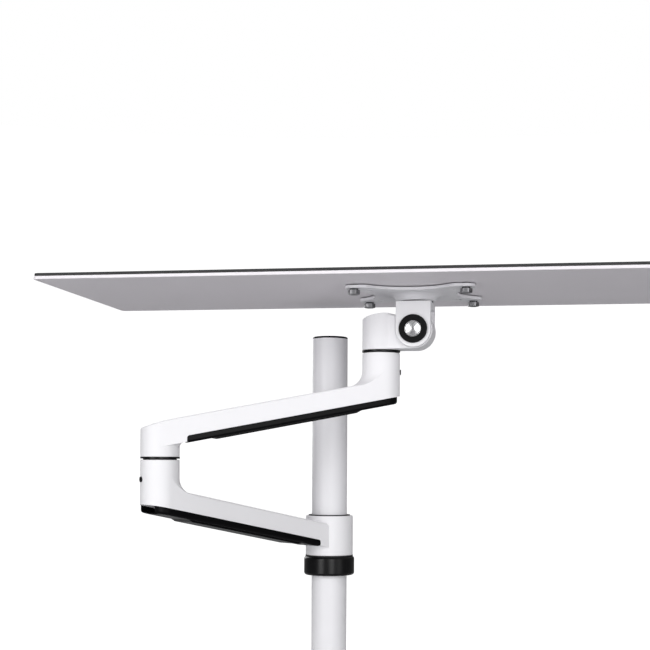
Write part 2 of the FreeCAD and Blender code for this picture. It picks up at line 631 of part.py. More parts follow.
def pivot_bolt():
    """Countersunk shoulder screw, threaded into the bracket's bridge, that the plate turns on."""
    shank = rod(4.0, WASHER_Z - BRIDGE_Z1 + BRIDGE_Z0, SPACER_Z - 2.2)
    head = Part.makeCone(4.0, 6.2, 2.2, Vector(0, 0, SPACER_Z - 2.2))
    return shank.fuse(head).removeSplitter().cut(hexagon(5, Vector(0, 0, SPACER_Z - 2), UP, 3))


def square_corners(half):
    return [(x, y) for x in (-half, half) for y in (-half, half)]


def mount_plate():
    """Cross-shaped steel plate with scooped sides, a pressed boss, and 100 mm and 75 mm square patterns."""
    z0, z1 = PLATE_Z, PLATE_Z + PLATE_T
    plate = box(-PLATE_HALF, PLATE_HALF, -PLATE_HALF, PLATE_HALF, z0, z1)
    plate = rounded(plate, 7.5, lambda e: e.BoundBox.ZLength > PLATE_T - 0.1)
    scoop_depth, mouth = 20.0, 38.0
    scoop_r = (mouth ** 2 + scoop_depth ** 2) / (2 * scoop_depth)
    offset = PLATE_HALF - scoop_depth + scoop_r
    for x, y in ((offset, 0), (-offset, 0), (0, offset), (0, -offset)):
        plate = plate.cut(rod(scoop_r, z0 - 1, z1 + 1, x, y))
    plate = rounded(plate, 6.0, lambda e: e.BoundBox.ZLength > PLATE_T - 0.1 and e.BoundBox.XLength < 0.01
                    and e.BoundBox.YLength < 0.01
                    and min(abs(abs(e.BoundBox.XMin) - mouth), abs(abs(e.BoundBox.YMin) - mouth)) < 0.01)
    # the pressed boss widens in a hollow curve up to the plate
    curve = Part.Arc(Vector(BOSS_R, 0, BOSS_Z), Vector(BOSS_R + 3.2, 0, BOSS_Z + 0.66 * BOSS_H),
                     Vector(BOSS_TOP_R, 0, z0 + 0.05)).toShape()
    edges = [(BOSS_TOP_R, z0 + 0.05), (BOSS_TOP_R, z0 + 1), (0, z0 + 1), (0, BOSS_Z), (BOSS_R, BOSS_Z)]
    sides = [Part.LineSegment(Vector(a, 0, b), Vector(c, 0, d)).toShape()
             for (a, b), (c, d) in zip(edges, edges[1:])]
    boss = Part.Face(Part.Wire([curve] + sides)).revolve(Vector(0, 0, 0), UP, 360)
    plate = plate.fuse(boss).removeSplitter()
    for x, y in square_corners(50.0) + square_corners(37.5):
        plate = plate.cut(rod(HOLE_R, z0 - 1, z1 + 1, x, y))
    bore = 4.0 + RUN_FIT
    plate = plate.cut(rod(bore, BOSS_Z - 1, z1 + 1))
    return plate.cut(Part.makeCone(bore + 0.1, bore + 2.3, 2.3, Vector(0, 0, z1 - 2.3)))


def tray_spacers():
    return Part.makeCompound([tube(4.5, 2.1, SPACER_Z, BOARD_Z, x, y) for x, y in square_corners(50.0)])


def tray_bolts():
    """Four M4 hexagon screws, up through the plate and its spacers into the board."""
    bolts = []
    for x, y in square_corners(50.0):
        head = hexagon(9.5, Vector(x, y, PLATE_Z - BOLT_WASHER_H - 4.2), UP, 4.2)
        bolts.append(head.fuse(rod(2.0, PLATE_Z - BOLT_WASHER_H - 1, BOARD_Z + 2.2, x, y)).removeSplitter())
    return Part.makeCompound(bolts)


def bolt_washers():
    """Small dark washers between the bolt heads and the plate."""
    return Part.makeCompound([tube(3.8, 2.0, PLATE_Z - BOLT_WASHER_H, PLATE_Z, x, y)
                              for x, y in square_corners(50.0)])


def rounded_board(half_x, half_y, corner, z0, z1, soften):
    board = rounded(box(-half_x, half_x, -half_y, half_y, z0, z1), corner,
                    lambda e: e.BoundBox.ZLength > z1 - z0 - 0.1)
    return rounded(board, soften, lambda e: e.BoundBox.ZLength < 0.01)


def tray_board():
    board = rounded_board(TRAY_X, TRAY_Y, 4.0, BOARD_Z, MAT_Z, 0.5)
    for x, y in square_corners(50.0):
        board = board.cut(rod(2.0, BOARD_Z - 1, BOARD_Z + 2.2, x, y))
    return board


def tray_mat():
    return rounded_board(TRAY_X - 0.6, TRAY_Y - 0.6, 4.0, MAT_Z, MAT_Z + MAT_T, 0.8)


def nodes():
    """Every node's name with its solids, in the part's frame."""
    origin = Vector(0, 0, 0)
    parts = {
        "pole_tube": pole_tube(), "pole_cap": pole_cap(), "pole_plug": pole_plug(), "foot_bolt": foot_bolt(),
        "desk_foot": desk_foot(), "foot_grub_screw": foot_grub_screw(), "foot_pad": foot_pad(),
        "clamp_bracket": clamp_bracket(), "clamp_screws": clamp_screws(), "clamp_spindle": clamp_spindle(),
        "clamp_knob": clamp_knob(), "press_plate": press_plate(), "press_pad": press_pad(),
        "height_ring": height_ring(), "ring_screw": ring_screw(), "glide_washer": glide_washer(),
    }
    on_pole = {
        "lower_link": lower_link(), "lower_cable_cover": cable_cover(LOWER_WEB_Z, LOWER_COVER_X0),
        "collar_bush_top": collar_bush(True), "collar_bush_bottom": collar_bush(False),
    }
    on_elbow = {"upper_link": upper_link(), "upper_cable_cover": cable_cover(UPPER_WEB_Z, UPPER_COVER_X0)}
    for name, point, yaw, top in (("elbow", ELBOW, LOWER_YAW, LOWER_TOP), ("head", HEAD, UPPER_YAW, UPPER_TOP)):
        for piece, make in (("spigot", swivel_spigot), ("sleeve", swivel_sleeve), ("washer", swivel_washer),
                            ("keeper", swivel_keeper), ("set_screw", swivel_set_screw)):
            parts[f"{name}_{piece}"] = placed(make(top), point, yaw)
    on_head = {
        "head_knuckle": head_knuckle(), "tilt_sleeve": tilt_sleeve(), "tilt_bracket": tilt_bracket(),
        "tilt_shaft": tilt_shaft(), "friction_washers": friction_washers(),
        "tilt_ring_front": tilt_ring(-1), "tilt_ring_back": tilt_ring(1),
        "tilt_cap_front": tilt_cap(-1), "tilt_cap_back": tilt_cap(1),
    }
    on_plate = {
        "plate_washer": plate_washer(), "pivot_bolt": pivot_bolt(), "mount_plate": mount_plate(),
        "tray_spacers": tray_spacers(), "tray_bolts": tray_bolts(), "bolt_washers": bolt_washers(),
        "tray_board": tray_board(), "tray_mat": tray_mat(),
    }
    for group, point, yaw in ((on_pole, origin, LOWER_YAW), (on_elbow, ELBOW, UPPER_YAW), (on_head, HEAD, 0),
                              (on_plate, CENTRE, 0)):
        parts.update({name: placed(shape, point, yaw) for name, shape in group.items()})
    return parts


def main():
    os.makedirs("parts", exist_ok=True)
    for name, shape in nodes().items():
        solids = shape.Solids
        if not shape.isValid() or not solids:
            print("check", name, "valid", shape.isValid(), "solids", len(solids))
        shape.exportStep(f"parts/{name}.step")
        b = shape.BoundBox
        print(f"{name}: {len(solids)} solid, {sum(s.Volume for s in solids) / 1000:.1f} cm3, "
              f"z {b.ZMin:.1f} to {b.ZMax:.1f}")
    print("elbow", ELBOW, "head", HEAD, "plate centre", CENTRE)
    print("tops", LOWER_TOP, UPPER_TOP, "tilt axis", TILT_Z, "tray", BOARD_Z, MAT_Z + MAT_T)


main()
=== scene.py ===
# %% [markdown]
# # A desk-pole arm with a flat tray
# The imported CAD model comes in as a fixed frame: every tube, link and screw is already the right size
# and in the right place. This script gives each part its finish, models the pieces whose surface
# needs more than the CAD shape, and lights the arm on a plain white ground.

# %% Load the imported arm
import json
import math

import bmesh
import bpy
from mathutils import Matrix, Vector


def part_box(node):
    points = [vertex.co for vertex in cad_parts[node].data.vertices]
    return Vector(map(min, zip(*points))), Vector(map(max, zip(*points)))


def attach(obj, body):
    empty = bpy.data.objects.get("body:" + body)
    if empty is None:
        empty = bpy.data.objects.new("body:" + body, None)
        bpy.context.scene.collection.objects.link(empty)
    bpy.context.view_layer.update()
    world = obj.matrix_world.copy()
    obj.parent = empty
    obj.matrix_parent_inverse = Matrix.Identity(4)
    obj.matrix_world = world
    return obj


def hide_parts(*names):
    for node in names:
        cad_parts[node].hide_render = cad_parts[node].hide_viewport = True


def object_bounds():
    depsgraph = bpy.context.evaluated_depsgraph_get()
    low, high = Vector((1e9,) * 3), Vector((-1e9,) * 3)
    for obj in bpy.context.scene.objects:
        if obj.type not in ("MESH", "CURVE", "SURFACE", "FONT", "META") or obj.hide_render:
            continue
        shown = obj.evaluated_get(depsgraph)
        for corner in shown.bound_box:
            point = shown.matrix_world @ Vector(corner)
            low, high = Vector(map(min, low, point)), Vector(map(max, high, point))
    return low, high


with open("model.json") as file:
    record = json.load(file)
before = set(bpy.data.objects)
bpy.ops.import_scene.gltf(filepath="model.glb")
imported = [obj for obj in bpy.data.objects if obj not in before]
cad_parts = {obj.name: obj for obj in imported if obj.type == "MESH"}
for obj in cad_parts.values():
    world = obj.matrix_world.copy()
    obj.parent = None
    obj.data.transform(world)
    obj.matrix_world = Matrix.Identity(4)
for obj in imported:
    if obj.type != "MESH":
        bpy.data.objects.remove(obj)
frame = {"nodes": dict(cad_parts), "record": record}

nodes = frame["nodes"]
cad_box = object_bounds()
record = frame["record"]
body_of_node = {node: body for body, members in record["behaviour"]["bodies"].items() for node in members}
slot_of = {part["node"]: part["material_slot"] for part in record["subparts"]}
print("nodes", len(nodes), "box", [round(v, 3) for corner in cad_box for v in corner])

# %% [markdown]
# ## The camera
# A long lens keeps the tray and both links in nearly true proportion. The camera looks level, so the
# pole stays upright, and the picture is shifted up to take in the tray instead of tilting the camera:
# a tilt would make the pole lean inwards.

# %% Camera
CAMERA_PLACE = (0.2235, -1.2808, 0.2724)
CAMERA_TURN = math.radians(9.0)
CAMERA_ROLL = math.radians(0.27)
camera_data = bpy.data.cameras.new("camera")
camera_data.lens = 72
camera_data.sensor_width = 36
camera_data.shift_x = -0.0385
camera_data.shift_y = 0.2123
camera = bpy.data.objects.new("camera", camera_data)
bpy.context.scene.collection.objects.link(camera)
camera.matrix_world = (Matrix.Translation(CAMERA_PLACE) @ Matrix.Rotation(CAMERA_TURN, 4, "Z")
                       @ Matrix.Rotation(math.radians(90), 4, "X") @ Matrix.Rotation(CAMERA_ROLL, 4, "Z"))
bpy.context.scene.camera = camera
print("camera", tuple(round(v, 3) for v in camera.location))

# %% [markdown]
# ## Small tools for editing
# An operator works on whatever is selected, so nothing may stay selected from the step before. These
# helpers clear the selection, take over a new primitive, and pick faces or edges by a test on their
# place.

# %% Selection helpers
SAME = 1e-6     # two heights closer than this are the same


def only(piece):
    """Selects one piece and nothing else."""
    bpy.ops.object.select_all(action="DESELECT")
    piece.select_set(True)
    bpy.context.view_layer.objects.active = piece


def start(name):
    """Names the primitive just added and puts its place into its mesh."""
    piece = bpy.context.object
    piece.name = name
    piece.data.name = name
    only(piece)
    bpy.ops.object.transform_apply(location=True, rotation=True, scale=True)
    return piece


def pick(piece, mode, test):
    """In edit mode, selects the faces or edges that pass the test."""
    bpy.ops.mesh.select_mode(type=mode)
    bpy.ops.mesh.select_all(action="DESELECT")
    mesh = bmesh.from_edit_mesh(piece.data)
    for item in (mesh.faces if mode == "FACE" else mesh.edges):
        if test(item):
            item.select_set(True)
    mesh.select_flush_mode()
    bmesh.update_edit_mesh(piece.data)


def rise(edge):
    """How far one end of an edge lies above the other."""
    return abs(edge.verts[0].co.z - edge.verts[1].co.z)


def smooth(piece, degrees=35):
    """Shades faces smoothly where they meet at less than an angle, and keeps sharper edges crisp."""
    only(piece)
    bpy.ops.object.shade_smooth_by_angle(angle=math.radians(degrees))


print("helpers ready")

# %% [markdown]
# ## Shared surface effects
# Several finishes share the same effects: the fine ripple of a sprayed coat, edges lightened as wear and
# as a painted highlight, and the rings that a lathe leaves. Each is a node group, built once and placed
# with its own values.

# %% Group tools
def new_group(name, inputs, outputs):
    """A node group with named sockets, each with a starting value where it has one."""
    group = bpy.data.node_groups.new(name, "ShaderNodeTree")
    for label, kind, value in inputs:
        socket = group.interface.new_socket(name=label, in_out="INPUT", socket_type=kind)
        if value is not None:
            socket.default_value = value
    for label, kind in outputs:
        group.interface.new_socket(name=label, in_out="OUTPUT", socket_type=kind)
    return group, group.nodes.new("NodeGroupInput"), group.nodes.new("NodeGroupOutput")


def maths(tree, kind, a, b=None, clamp=False):
    """A Math node; a and b are sockets or plain numbers."""
    node = tree.nodes.new("ShaderNodeMath")
    node.operation = kind
    node.use_clamp = clamp
    for index, value in enumerate((a, b)):
        if value is None:
            continue
        if isinstance(value, (int, float)):
            node.inputs[index].default_value = value
        else:
            tree.links.new(value, node.inputs[index])
    return node.outputs[0]


FLOAT = "NodeSocketFloat"
VECTOR = "NodeSocketVector"

# %% Sprayed coat
def sprayed_coat_group():
    """Fine ripple of a baked coat, with broad faint patches where it lies thicker."""
    group, given, result = new_group(
        "sprayed coat",
        [("Place", VECTOR, None), ("Ripple Size", FLOAT, 700.0), ("Patch Size", FLOAT, 22.0)],
        [("Height", FLOAT), ("Patches", FLOAT)])
    ripple = group.nodes.new("ShaderNodeTexNoise")
    ripple.inputs["Detail"].default_value = 3.0
    ripple.inputs["Roughness"].default_value = 0.45
    group.links.new(given.outputs["Place"], ripple.inputs["Vector"])
    group.links.new(given.outputs["Ripple Size"], ripple.inputs["Scale"])
    patches = group.nodes.new("ShaderNodeTexNoise")
    patches.inputs["Detail"].default_value = 2.0
    group.links.new(given.outputs["Place"], patches.inputs["Vector"])
    group.links.new(given.outputs["Patch Size"], patches.inputs["Scale"])
    group.links.new(ripple.outputs["Fac"], result.inputs["Height"])
    group.links.new(patches.outputs["Fac"], result.inputs["Patches"])
    return group


SPRAYED_COAT = sprayed_coat_group()
print("group", SPRAYED_COAT.name)

# %% Worn edges with a painted highlight
def worn_edges_painted_highlight_group():
    """Mask for wear and a painted edge highlight: 1 on sharp edges, 0 on flat faces, broken up by noise."""
    group, given, result = new_group(
        "worn edges with painted highlight",
        [("Place", VECTOR, None), ("Width", FLOAT, 0.0008), ("Amount", FLOAT, 1.0)],
        [("Mask", FLOAT)])
    softened = group.nodes.new("ShaderNodeBevel")
    softened.samples = 4
    group.links.new(given.outputs["Width"], softened.inputs["Radius"])
    shape = group.nodes.new("ShaderNodeNewGeometry")
    agree = group.nodes.new("ShaderNodeVectorMath")
    agree.operation = "DOT_PRODUCT"
    group.links.new(softened.outputs["Normal"], agree.inputs[0])
    group.links.new(shape.outputs["Normal"], agree.inputs[1])
    bend = maths(group, "SUBTRACT", 1.0, agree.outputs["Value"])
    strong = maths(group, "MULTIPLY", bend, 6.0, clamp=True)
    breakup = group.nodes.new("ShaderNodeTexNoise")
    breakup.inputs["Scale"].default_value = 160.0
    breakup.inputs["Detail"].default_value = 3.0
    group.links.new(given.outputs["Place"], breakup.inputs["Vector"])
    broken = maths(group, "MULTIPLY", strong, breakup.outputs["Fac"])
    mask = maths(group, "MULTIPLY", broken, given.outputs["Amount"], clamp=True)
    group.links.new(mask, result.inputs["Mask"])
    return group


WORN_EDGES_PAINTED_HIGHLIGHT = worn_edges_painted_highlight_group()
print("group", WORN_EDGES_PAINTED_HIGHLIGHT.name)

# %% Lathe rings
def lathe_rings_group():
    """Fine rings round the Y axis of the given place, as a facing cut leaves."""
    group, given, result = new_group(
        "lathe rings", [("Place", VECTOR, None), ("Pitch", FLOAT, 0.00022)],
        [("Height", FLOAT), ("Streaks", FLOAT)])
    flat = group.nodes.new("ShaderNodeVectorMath")
    flat.operation = "MULTIPLY"
    flat.inputs[1].default_value = (1.0, 0.0, 1.0)
    group.links.new(given.outputs["Place"], flat.inputs[0])
    reach = group.nodes.new("ShaderNodeVectorMath")
    reach.operation = "LENGTH"
    group.links.new(flat.outputs["Vector"], reach.inputs[0])
    turns = maths(group, "DIVIDE", reach.outputs["Value"], given.outputs["Pitch"])
    wave = maths(group, "SINE", maths(group, "MULTIPLY", turns, 2 * math.pi))
    group.links.new(maths(group, "MULTIPLY_ADD", wave, 0.5), result.inputs["Height"])
    streaks = group.nodes.new("ShaderNodeTexNoise")
    streaks.noise_dimensions = "1D"
    streaks.inputs["Scale"].default_value = 3.0
    group.links.new(turns, streaks.inputs["W"])
    group.links.new(streaks.outputs["Fac"], result.inputs["Streaks"])
    return group


LATHE_RINGS = lathe_rings_group()
print("group", LATHE_RINGS.name)

# %% [markdown]
# ## The finishes
# Every finish starts from the same frame: one Principled shader, whose fixed numbers sit on its own
# sockets, and texture nodes that vary its colour, roughness and fine relief. Edges are painted lighter,
# as wear and as a painted highlight, and white coat is a touch glossier on them; moulded plastic has a
# finer, harder grain; plain metal shows its tooling.

# %% Finish tools
def use(tree, group, **values):
    """Places a group that reads the piece's own coordinates; an underscore stands for a space."""
    node = tree.nodes.new("ShaderNodeGroup")
    node.node_tree = group
    place = tree.nodes.new("ShaderNodeTexCoord")
    tree.links.new(place.outputs["Object"], node.inputs["Place"])
    for label, value in values.items():
        node.inputs[label.replace("_", " ")].default_value = value
    return node


def between(tree, mask, low, high):
    """A number that runs from low to high as the mask goes from 0 to 1."""
    span = tree.nodes.new("ShaderNodeMapRange")
    span.inputs["To Min"].default_value = low
    span.inputs["To Max"].default_value = high
    tree.links.new(mask, span.inputs["Value"])
    return span.outputs["Result"]


def blend(tree, mask, first, second):
    """A colour that runs from first to second as the mask goes from 0 to 1."""
    mix = tree.nodes.new("ShaderNodeMix")
    mix.data_type = "RGBA"
    tree.links.new(mask, mix.inputs["Factor"])
    for socket, colour in ((mix.inputs["A"], first), (mix.inputs["B"], second)):
        if isinstance(colour, tuple):
            socket.default_value = (*colour, 1.0)
        else:
            tree.links.new(colour, socket)
    return mix.outputs["Result"]


def relief(tree, shader, height, depth, strength):
    """Fine bumps, depth metres high, in the shader's normal."""
    bump = tree.nodes.new("ShaderNodeBump")
    bump.inputs["Distance"].default_value = depth
    bump.inputs["Strength"].default_value = strength
    tree.links.new(height, bump.inputs["Height"])
    tree.links.new(bump.outputs["Normal"], shader.inputs["Normal"])


def new_finish(name):
    finish = bpy.data.materials.new(name)
    finish.use_nodes = True
    return finish, finish.node_tree, finish.node_tree.nodes["Principled BSDF"]


# %% Coated and moulded finishes
PATCH_SHADE = 0.965        # a thin patch of coat is this much darker
ROUGHNESS_SPREAD = 0.05
EDGE_GLOSS = -0.12         # a rubbed edge is smoother
COAT_RELIEF = 0.35


def coated(name, colour, edge_wear_and_highlight_colour, rough, ripple, depth, patch=22.0, edge=0.5, metal=0.0, width=0.0008,
           shine=0.5):
    """Sprayed, moulded or blackened surface: ripple, faint patches, worn edges with a painted highlight."""
    finish, tree, shader = new_finish(name)
    coat = use(tree, SPRAYED_COAT, Ripple_Size=ripple, Patch_Size=patch)
    edges = use(tree, WORN_EDGES_PAINTED_HIGHLIGHT, Width=width, Amount=edge)
    darker = tuple(channel * PATCH_SHADE for channel in colour)
    base = blend(tree, coat.outputs["Patches"], darker, colour)
    # Edges take the lighter edge colour, as wear and as a painted highlight along the rims.
    tree.links.new(blend(tree, edges.outputs["Mask"], base, edge_wear_and_highlight_colour), shader.inputs["Base Color"])
    varied = between(tree, coat.outputs["Patches"], rough - ROUGHNESS_SPREAD, rough + ROUGHNESS_SPREAD)
    lifted = maths(tree, "MULTIPLY", edges.outputs["Mask"], EDGE_GLOSS)
    tree.links.new(maths(tree, "ADD", varied, lifted, clamp=True), shader.inputs["Roughness"])
    relief(tree, shader, coat.outputs["Height"], depth, COAT_RELIEF)
    shader.inputs["Metallic"].default_value = metal
    shader.inputs["Specular IOR Level"].default_value = shine
    return finish


# The second colour of each finish is its edge colour: real wear and a painted edge highlight.
FINISHES = {
    "white_pole": coated("white pole coat", (0.82, 0.815, 0.84), (0.87, 0.865, 0.88),
                         rough=0.42, ripple=850.0, depth=0.00003),
    "white_cast": coated("white cast coat", (0.85, 0.845, 0.865), (0.91, 0.905, 0.92),
                         rough=0.52, ripple=620.0, depth=0.00005, shine=0.2),
    "white_board": coated("white board coat", (0.80, 0.770, 0.805), (0.88, 0.875, 0.89),
                          rough=0.50, ripple=1100.0, depth=0.00002),
    "black_plastic": coated("black moulded plastic", (0.0026, 0.0025, 0.0030), (0.018, 0.018, 0.020),
                            rough=0.29, ripple=1400.0, depth=0.00003, patch=30.0, edge=0.7, shine=0.24),
    "cover_plastic": coated("black cover plastic", (0.0020, 0.0019, 0.0023), (0.016, 0.016, 0.018),
                            rough=0.34, ripple=1100.0, depth=0.00004, patch=26.0, edge=0.7, shine=0.08),
    "grey_nylon": coated("dark nylon", (0.010, 0.010, 0.011), (0.03, 0.03, 0.03),
                         rough=0.52, ripple=1200.0, depth=0.00002, shine=0.3),
    "black_steel": coated("blackened steel", (0.012, 0.012, 0.014), (0.12, 0.12, 0.13),
                          rough=0.36, ripple=900.0, depth=0.00002, edge=0.9, metal=0.5, width=0.0004,
                          shine=0.35),
    "zinc_steel": coated("zinc plated steel", (0.27, 0.27, 0.28), (0.55, 0.55, 0.56),
                         rough=0.34, ripple=520.0, depth=0.00003, patch=60.0, edge=0.7, metal=1.0,
                         width=0.0004),
    "dark_rubber": coated("dark rubber", (0.010, 0.010, 0.010), (0.020, 0.020, 0.020),
                          rough=0.78, ripple=700.0, depth=0.00008, edge=0.3, shine=0.3),
}
print("finishes", sorted(FINISHES))

# %% [markdown]
# ## The turned metal
# The small metal discs on the tilt joint are faced on a lathe. Light catches such a face in bright
# wedges, because every groove is an arc. The wide grooves are modelled further down; this finish adds
# the finest rings between them, centred on each disc.

# %% Turned metal
def turned_finish(node):
    """Lathe rings centred on one cap, so each cap has its own copy."""
    low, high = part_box(node)
    middle = (low + high) / 2
    finish, tree, shader = new_finish("turned steel " + node)
    rings = tree.nodes.new("ShaderNodeGroup")
    rings.node_tree = LATHE_RINGS
    place = tree.nodes.new("ShaderNodeTexCoord")
    centring = tree.nodes.new("ShaderNodeMapping")
    centring.inputs["Location"].default_value = tuple(-middle)
    tree.links.new(place.outputs["Object"], centring.inputs["Vector"])
    tree.links.new(centring.outputs["Vector"], rings.inputs["Place"])
    tree.links.new(blend(tree, rings.outputs["Streaks"], (0.45, 0.45, 0.46), (0.61, 0.61, 0.61)),
                   shader.inputs["Base Color"])
    tree.links.new(between(tree, rings.outputs["Streaks"], 0.16, 0.28), shader.inputs["Roughness"])
    relief(tree, shader, rings.outputs["Height"], 0.00002, 0.4)
    shader.inputs["Metallic"].default_value = 1.0
    return finish


# %% [markdown]
# ## The tray's mat
# The mat is a thin sheet with a pebbled top. A leather-like pebble is a Voronoi pattern, whose cells
# are rounded lumps, with fine noise over it so that the light breaks up.

# %% Pebbled mat
def mat_finish():
    """Rounded pebbles with fine noise over them, in two close blacks."""
    finish, tree, shader = new_finish("pebbled black mat")
    place = tree.nodes.new("ShaderNodeTexCoord")
    pebbles = tree.nodes.new("ShaderNodeTexVoronoi")
    pebbles.feature = "SMOOTH_F1"
    pebbles.inputs["Scale"].default_value = 620.0
    tree.links.new(place.outputs["Object"], pebbles.inputs["Vector"])
    coat = use(tree, SPRAYED_COAT, Ripple_Size=1800.0, Patch_Size=9.0)
    lumps = maths(tree, "SUBTRACT", 1.0, pebbles.outputs["Distance"])
    height = maths(tree, "ADD", lumps, maths(tree, "MULTIPLY", coat.outputs["Height"], 0.3))
    tree.links.new(blend(tree, coat.outputs["Patches"], (0.013, 0.013, 0.014), (0.022, 0.022, 0.023)),
                   shader.inputs["Base Color"])
    tree.links.new(between(tree, pebbles.outputs["Distance"], 0.58, 0.78), shader.inputs["Roughness"])
    relief(tree, shader, height, 0.00012, 0.6)
    return finish


FINISHES["black_mat"] = mat_finish()

# %% Put the finishes on the CAD parts
FINISHES_TURNED = {name: turned_finish(name) for name in nodes if slot_of[name] == "turned_steel"}
for name, piece in nodes.items():
    slot = "cover_plastic" if name.endswith("cable_cover") else slot_of[name]
    finish = FINISHES_TURNED.get(name) or FINISHES[slot]
    piece.data.materials.clear()
    piece.data.materials.append(finish)
print("finished", len(nodes), "CAD parts")

# %% [markdown]
# ## The tray mat
# On the real tray the mat is a cut sheet with rounded corners and a softened top edge, and a narrow
# pressed border runs just inside it. A cube is brought to size, its four upright edges are bevelled
# into corners, its top rim is rounded, and an inset face is lowered to make the border.

# %% Model the tray mat
MAT_CORNER = 0.004
MAT_RIM = 0.0008
BORDER_WIDTH = 0.0020   # less than the corner radius, or the border folds over itself
BORDER_DROP = 0.0004
BORDER_SLOPE = 0.0006


def make_mat():
    """A rounded sheet with a pressed border, in place of the plain mat."""
    low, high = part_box("tray_mat")
    size = high - low
    bpy.ops.mesh.primitive_cube_add(size=1, location=(low + high) / 2)
    bpy.context.object.scale = size
    mat = start("tray_mat_sheet")
    bpy.ops.object.mode_set(mode="EDIT")
    pick(mat, "EDGE", lambda e: rise(e) > size.z - SAME)
    bpy.ops.mesh.bevel(offset=MAT_CORNER, segments=10, affect="EDGES")
    pick(mat, "EDGE", lambda e: all(v.co.z > high.z - SAME for v in e.verts))
    bpy.ops.mesh.bevel(offset=MAT_RIM, segments=4, affect="EDGES")
    pick(mat, "FACE", lambda f: f.normal.z > 0.99 and f.calc_area() > size.x * size.y * 0.5)
    bpy.ops.mesh.inset(thickness=BORDER_WIDTH, depth=0)
    bpy.ops.mesh.inset(thickness=BORDER_SLOPE, depth=-BORDER_DROP)
    bpy.ops.object.mode_set(mode="OBJECT")
    mat.data.materials.append(FINISHES["black_mat"])
    smooth(mat)
    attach(mat, "tray")
    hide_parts("tray_mat")
    print("mat", len(mat.data.polygons), "faces, size", [round(v, 4) for v in mat.dimensions])


make_mat()

# %% [markdown]
# ## The clamp's hand knob
# A hand knob has finger hollows round its side and a recess in its underside, which saves plastic and
# keeps the moulding from sinking. A many-sided cylinder is drawn in at eight places to make the
# hollows, and its rims are bevelled. Its hub and its recess are round. A deep inset of a wavy face
# folds over itself at each hollow, so the inset is shallow here, and its ring is then drawn in to a
# circle.

# %% Model the clamp knob
FLUTES = 8
SIDES = 128
HOLLOW_DEPTH = 0.0028
LOBE_REACH = 1.0235        # the lobes point between the axes, and reach past the box's half width
GRIP_RIM = 0.0024
SHALLOW_INSET = 0.0003     # too shallow to fold at a hollow or at a corner
HUB_RADIUS = 0.011
HUB_HEIGHT = 0.005
RECESS_RADIUS = 0.0125
RECESS_FLOOR_RADIUS = 0.0118
RECESS_DEPTH = 0.0022


def draw_to_circle(piece, axis, radius):
    """In edit mode, puts each selected vertex on a circle round an upright axis, at its own height."""
    bpy.ops.object.mode_set(mode="OBJECT")
    for vertex in piece.data.vertices:
        if vertex.select:
            out = Vector((vertex.co.x - axis.x, vertex.co.y - axis.y, 0)).normalized() * radius
            vertex.co = Vector((axis.x, axis.y, vertex.co.z)) + out
    bpy.ops.object.mode_set(mode="EDIT")


def make_knob():
    """A fluted grip with a round hub on top and a round recess below."""
    low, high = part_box("clamp_knob")
    radius = (high.x - low.x) / 2 * LOBE_REACH
    grip_height = high.z - HUB_HEIGHT - low.z
    axis = Vector(((low.x + high.x) / 2, (low.y + high.y) / 2, 0))
    bpy.ops.mesh.primitive_cylinder_add(
        vertices=SIDES, radius=radius, depth=grip_height, end_fill_type="NGON",
        location=(axis.x, axis.y, low.z + grip_height / 2))
    knob = start("clamp_hand_knob")
    for vertex in knob.data.vertices:
        out = vertex.co - Vector((axis.x, axis.y, vertex.co.z))
        hollow = (0.5 + 0.5 * math.cos(FLUTES * math.atan2(out.y, out.x))) ** 2
        vertex.co -= out.normalized() * HOLLOW_DEPTH * hollow
    bpy.ops.object.mode_set(mode="EDIT")
    pick(knob, "EDGE", lambda e: rise(e) < SAME)
    bpy.ops.mesh.bevel(offset=GRIP_RIM, segments=5, affect="EDGES")
    pick(knob, "FACE", lambda f: f.normal.z > 0.99 and f.calc_area() > radius ** 2)
    bpy.ops.mesh.inset(thickness=SHALLOW_INSET, depth=0)
    draw_to_circle(knob, axis, HUB_RADIUS)
    bpy.ops.mesh.extrude_region_move(TRANSFORM_OT_translate={"value": (0, 0, HUB_HEIGHT)})
    pick(knob, "FACE", lambda f: f.normal.z < -0.99 and f.calc_area() > radius ** 2)
    bpy.ops.mesh.inset(thickness=SHALLOW_INSET, depth=0)
    draw_to_circle(knob, axis, RECESS_RADIUS)
    bpy.ops.mesh.extrude_region_move(TRANSFORM_OT_translate={"value": (0, 0, RECESS_DEPTH)})
    draw_to_circle(knob, axis, RECESS_FLOOR_RADIUS)
    bpy.ops.object.mode_set(mode="OBJECT")
    knob.data.materials.append(FINISHES["black_plastic"])
    smooth(knob)
    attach(knob, "spindle")
    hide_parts("clamp_knob")
    print("knob", len(knob.data.polygons), "faces, size", [round(v, 4) for v in knob.dimensions])


make_knob()

# %% [markdown]
# ## The press pad
# The pad that bears on the desk's underside is rubber with concentric grooves, so that it grips a
# painted or waxed board. A disc's upper face is inset again and again, and every second ring sinks.

# %% Model the press pad
ROUND = 96              # sides of a disc that has to look round
PAD_RIM = 0.0005
PAD_GROOVES = 4
GROOVE_SPACING = 0.12   # as a share of the pad's radius
GROOVE_FLOOR = 0.0010
GROOVE_SLOPE = 0.0003
GROOVE_SINK = 0.0006


